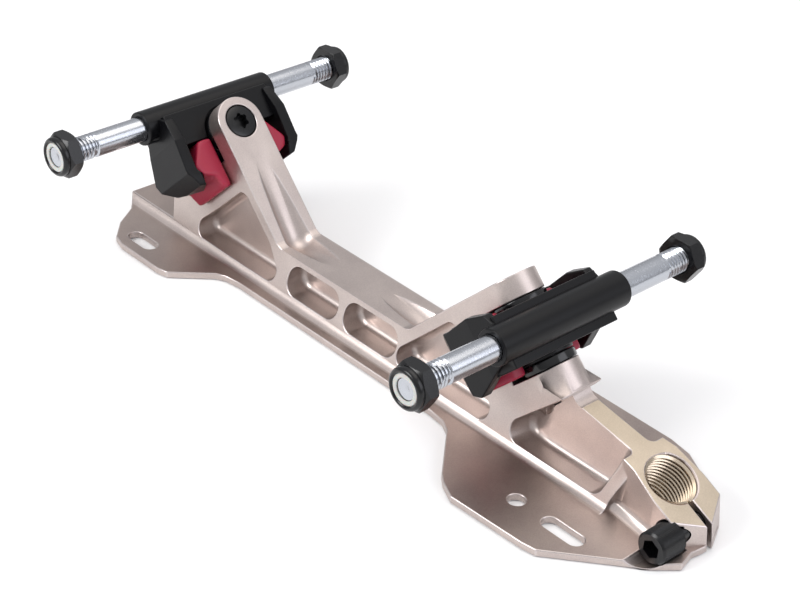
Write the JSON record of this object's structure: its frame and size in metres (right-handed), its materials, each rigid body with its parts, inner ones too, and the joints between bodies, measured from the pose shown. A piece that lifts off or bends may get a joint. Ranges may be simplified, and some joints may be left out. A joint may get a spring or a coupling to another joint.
{
  "type": "roller skate plate",
  "caption": "One-piece machined roller skate plate with two steering trucks on inclined pivot pins, cushions in the hangers, bare axles with locknuts and a clamped toe stop bore.",
  "frame": {"origin": "on the sole face, on the plate's middle line, midway between the axles", "axes": "+X towards the toe, +Y towards the side on which the flange is narrow, +Z away from the boot, towards the axles"},
  "size_m": [0.2457, 0.1172, 0.052],
  "materials": {
    "anodised_chassis": "satin anodised, champagne",
    "black_screw": "black oxide, oiled",
    "black_hanger": "black hard anodised, satin",
    "zinc_axle": "bright zinc plated, turned",
    "black_nut": "black zinc, semi-gloss",
    "white_nylon": "translucent white nylon",
    "black_bolt": "black oxide",
    "bronze_sleeve": "plain bronze",
    "black_washer": "polished black acetal",
    "red_cushion": "raspberry urethane, satin"
  },
  "bodies": {
    "plate": {"chassis": "anodised_chassis", "toe_stop_pinch_screw": "black_screw", "rear_pivot_bolt": "black_bolt", "front_pivot_bolt": "black_bolt"},
    "rear_truck": {"rear_hanger": "black_hanger", "rear_axle": "zinc_axle", "rear_left_nut": "black_nut", "rear_right_nut": "black_nut", "rear_left_nylon_ring": "white_nylon", "rear_right_nylon_ring": "white_nylon", "rear_pivot_sleeve": "bronze_sleeve", "rear_upper_washer": "black_washer", "rear_lower_washer": "black_washer", "rear_left_cushion": "red_cushion", "rear_right_cushion": "red_cushion"},
    "front_truck": {"front_hanger": "black_hanger", "front_axle": "zinc_axle", "front_left_nut": "black_nut", "front_right_nut": "black_nut", "front_left_nylon_ring": "white_nylon", "front_right_nylon_ring": "white_nylon", "front_pivot_sleeve": "bronze_sleeve", "front_upper_washer": "black_washer", "front_lower_washer": "black_washer", "front_left_cushion": "red_cushion", "front_right_cushion": "red_cushion"}
  },
  "joints": [
    {"name": "rear_truck_steer", "type": "hinge", "parent": "plate", "child": "rear_truck", "pos_m": [-0.07112, 0, 0.03472], "axis": [0.7071, 0, 0.7071], "range_deg": [-10, 10], "stiffness_Nm_per_rad": 25, "deforming": ["rear_left_cushion", "rear_right_cushion"]},
    {"name": "front_truck_steer", "type": "hinge", "parent": "plate", "child": "front_truck", "pos_m": [0.07112, 0, 0.03472], "axis": [-0.7071, 0, 0.7071], "range_deg": [-10, 10], "stiffness_Nm_per_rad": 25, "deforming": ["front_left_cushion", "front_right_cushion"]}
  ]
}
